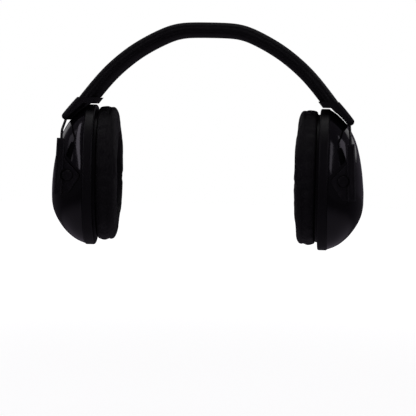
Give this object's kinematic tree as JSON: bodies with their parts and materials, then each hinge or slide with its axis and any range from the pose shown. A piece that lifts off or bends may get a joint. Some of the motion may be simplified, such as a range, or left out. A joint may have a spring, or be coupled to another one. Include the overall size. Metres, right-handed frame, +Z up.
{
  "type": "radio headphones",
  "caption": "Over-the-head radio headphones: padded band, wire forks with height-slide arms, tilting oval ear cups with soft cushions, a receiver in one cup and cells in the other.",
  "frame": {"origin": "midway between the two ears: on the line through the cups' middles, where the wearer's head is held", "axes": "+X to the wearer's left, -Y to the wearer's front, +Z up to the crown of the band"},
  "size_m": [0.2434, 0.0847, 0.1743],
  "materials": {
    "vinyl": "matt embossed vinyl",
    "foam": "open-cell foam",
    "spring_steel": "satin",
    "black_wire": "semi-gloss",
    "moulded_black": "fine texture",
    "satin_black": "satin",
    "gloss_black": "polished",
    "steel": "satin",
    "ferrite": "sintered",
    "paper": "pressed paper",
    "board": "satin",
    "copper": "enamelled wire",
    "component_black": "satin",
    "sleeve_blue": "shrunk sleeve",
    "cell_jacket": "plain jacket"
  },
  "bodies": {
    "headband": {"headband_cover": "vinyl", "headband_foam_pad": "foam", "headband_spring_strip": "spring_steel", "left_band_end_cap": "moulded_black", "right_band_end_cap": "moulded_black", "left_wire_fork": "black_wire", "right_wire_fork": "black_wire", "left_band_rivets": "steel", "right_band_rivets": "steel"},
    "left_arms": {"left_front_arm": "satin_black", "left_rear_arm": "satin_black"},
    "right_arms": {"right_front_arm": "satin_black", "right_rear_arm": "satin_black"},
    "left_cup": {"left_cup_shell": "gloss_black", "battery_tray": "moulded_black", "battery_cell_front": "cell_jacket", "battery_cell_rear": "cell_jacket", "battery_springs": "spring_steel", "battery_contacts": "spring_steel", "left_baffle_plate": "moulded_black", "left_cushion_ring": "moulded_black", "left_ear_cushion": "vinyl", "left_ear_foam": "foam", "left_speaker_basket": "steel", "left_speaker_magnet": "ferrite", "left_speaker_cone": "paper", "left_pivot_pins": "satin_black", "left_cup_screws": "steel"},
    "right_cup": {"right_cup_shell": "gloss_black", "right_circuit_board": "board", "tuning_capacitor": "moulded_black", "volume_control": "moulded_black", "ferrite_rod_antenna": "ferrite", "antenna_coil": "copper", "tuned_coil_cans": "steel", "receiver_chips": "component_black", "board_capacitors": "sleeve_blue", "band_switch_body": "moulded_black", "right_baffle_plate": "moulded_black", "right_cushion_ring": "moulded_black", "right_ear_cushion": "vinyl", "right_ear_foam": "foam", "right_speaker_basket": "steel", "right_speaker_magnet": "ferrite", "right_speaker_cone": "paper", "right_pivot_pins": "satin_black", "right_cup_screws": "steel"},
    "battery_door": {"battery_door": "gloss_black"},
    "tuning_wheel": {"tuning_wheel": "satin_black"},
    "volume_wheel": {"volume_wheel": "satin_black"},
    "band_switch_knob": {"band_switch_knob": "moulded_black"}
  },
  "joints": [
    {"name": "left_arm_slide", "type": "slide", "parent": "headband", "child": "left_arms", "axis": [0.0523, -0.0027, -0.9986], "range_m": [0, 0.026]},
    {"name": "left_cup_tilt", "type": "hinge", "parent": "left_arms", "child": "left_cup", "pos_m": [0.106, 0, 0.0008], "axis": [-0.0523, -0.9986, 0], "range_deg": [0, 9]},
    {"name": "right_arm_slide", "type": "slide", "parent": "headband", "child": "right_arms", "axis": [-0.0523, -0.0027, -0.9986], "range_m": [0, 0.026]},
    {"name": "right_cup_tilt", "type": "hinge", "parent": "right_arms", "child": "right_cup", "pos_m": [-0.106, 0, 0.0008], "axis": [-0.0523, 0.9986, 0], "range_deg": [0, 9]},
    {"name": "battery_door_lift", "type": "slide", "parent": "left_cup", "child": "battery_door", "axis": [0.9986, -0.0523, 0], "range_m": [0, 0.035]},
    {"name": "tuning_wheel_turn", "type": "hinge", "parent": "right_cup", "child": "tuning_wheel", "pos_m": [-0.10308, 0.02068, 0.03], "axis": [-0.9986, -0.0523, 0], "range_deg": [0, 180]},
    {"name": "volume_wheel_turn", "type": "hinge", "parent": "right_cup", "child": "volume_wheel", "pos_m": [-0.10318, 0.02268, -0.032], "axis": [-0.9986, -0.0523, 0], "range_deg": [0, 300]},
    {"name": "band_switch_slide", "type": "slide", "parent": "right_cup", "child": "band_switch_knob", "axis": [-0.9986, -0.0523, 0], "range_m": [0, 0.003]}
  ]
}
